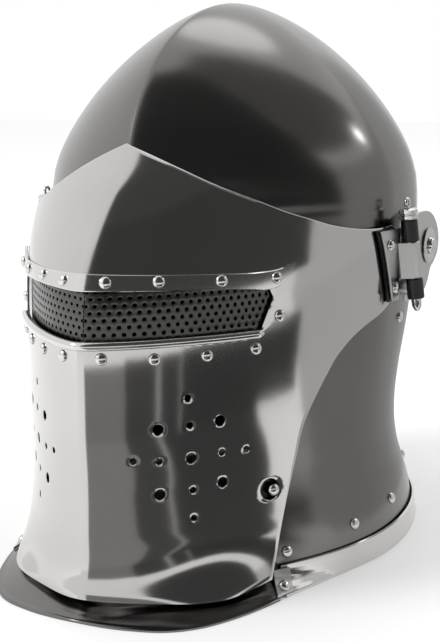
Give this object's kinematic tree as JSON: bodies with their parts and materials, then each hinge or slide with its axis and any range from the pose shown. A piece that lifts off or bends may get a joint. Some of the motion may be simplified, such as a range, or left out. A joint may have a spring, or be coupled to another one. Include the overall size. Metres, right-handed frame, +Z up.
{
  "type": "visored helmet",
  "caption": "Steel helmet with a ridged skull, a pivoted and pinned visor with a pierced sight, breaths and a flared rim.",
  "frame": {"origin": "centre of the rim's bounding box, on the floor it stands on", "axes": "+Z up, -Y towards the face, +X the wearer's left side"},
  "size_m": [0.2512, 0.304, 0.3028],
  "materials": {
    "dark_steel": "dark satin steel",
    "polished_steel": "polished steel",
    "satin_steel": "light satin steel",
    "black_steel": "blackened steel"
  },
  "bodies": {
    "skull_body": {"clasp_rivet_left": "polished_steel", "clasp_rivet_right": "polished_steel", "clasp_tab_left": "satin_steel", "clasp_tab_right": "satin_steel", "front_collar": "dark_steel", "pivot_rivet_left": "polished_steel", "pivot_rivet_right": "polished_steel", "pivot_washer_left": "polished_steel", "pivot_washer_right": "polished_steel", "rear_trim": "polished_steel", "skull": "dark_steel", "skull_rivet_left_foot_1": "polished_steel", "skull_rivet_left_foot_2": "polished_steel", "skull_rivet_left_foot_3": "polished_steel", "skull_rivet_left_foot_4": "polished_steel", "skull_rivet_left_temple": "polished_steel", "skull_rivet_right_foot_1": "polished_steel", "skull_rivet_right_foot_2": "polished_steel", "skull_rivet_right_foot_3": "polished_steel", "skull_rivet_right_foot_4": "polished_steel", "skull_rivet_right_temple": "polished_steel"},
    "arm_left": {"arm_left": "satin_steel"},
    "arm_right": {"arm_right": "satin_steel"},
    "visor_body": {"brow_band": "polished_steel", "brow_rivet_left_1": "polished_steel", "brow_rivet_left_2": "polished_steel", "brow_rivet_left_3": "polished_steel", "brow_rivet_left_4": "polished_steel", "brow_rivet_right_1": "polished_steel", "brow_rivet_right_2": "polished_steel", "brow_rivet_right_3": "polished_steel", "brow_rivet_right_4": "polished_steel", "hinge_leaf_left": "satin_steel", "hinge_leaf_right": "satin_steel", "hinge_pad_left": "black_steel", "hinge_pad_right": "black_steel", "leaf_rivet_left_lower": "polished_steel", "leaf_rivet_left_upper": "polished_steel", "leaf_rivet_right_lower": "polished_steel", "leaf_rivet_right_upper": "polished_steel", "lip_rivet_left_1": "polished_steel", "lip_rivet_left_2": "polished_steel", "lip_rivet_left_3": "polished_steel", "lip_rivet_left_4": "polished_steel", "lip_rivet_right_1": "polished_steel", "lip_rivet_right_2": "polished_steel", "lip_rivet_right_3": "polished_steel", "lip_rivet_right_4": "polished_steel", "side_rivet_left": "polished_steel", "side_rivet_right": "polished_steel", "sight_plate": "polished_steel", "visor": "polished_steel"},
    "pin_left": {"hinge_pin_left": "polished_steel"},
    "pin_right": {"hinge_pin_right": "polished_steel"},
    "latch": {"latch_pin": "polished_steel"}
  },
  "joints": [
    {"name": "visor_lift", "type": "hinge", "parent": "skull_body", "child": "arm_left", "pos_m": [0, 0.0583, 0.1645], "axis": [-1, 0, 0], "range_deg": [0, 65]},
    {"name": "visor_lift_right", "type": "hinge", "parent": "skull_body", "child": "arm_right", "pos_m": [0, 0.0583, 0.1645], "axis": [-1, 0, 0], "range_deg": [0, 65]},
    {"name": "visor_swing", "type": "hinge", "parent": "arm_left", "child": "visor_body", "pos_m": [0.1183, 0.0123, 0.17], "axis": [-0.1045, 0, 0.9945], "range_deg": [0, 110]},
    {"name": "pin_pull_left", "type": "slide", "parent": "arm_left", "child": "pin_left", "axis": [-0.1045, 0, 0.9945], "range_m": [0, 0.065]},
    {"name": "pin_pull_right", "type": "slide", "parent": "arm_right", "child": "pin_right", "axis": [0.1045, 0, 0.9945], "range_m": [0, 0.065]},
    {"name": "latch_press", "type": "slide", "parent": "skull_body", "child": "latch", "axis": [-0.8387, 0.5434, -0.0366], "range_m": [0, 0.0055], "stiffness_N_per_m": 400, "springref_m": -0.002}
  ],
  "couplings": [
    {"joint": "visor_lift_right", "follows": "visor_lift", "ratio": 1}
  ]
}
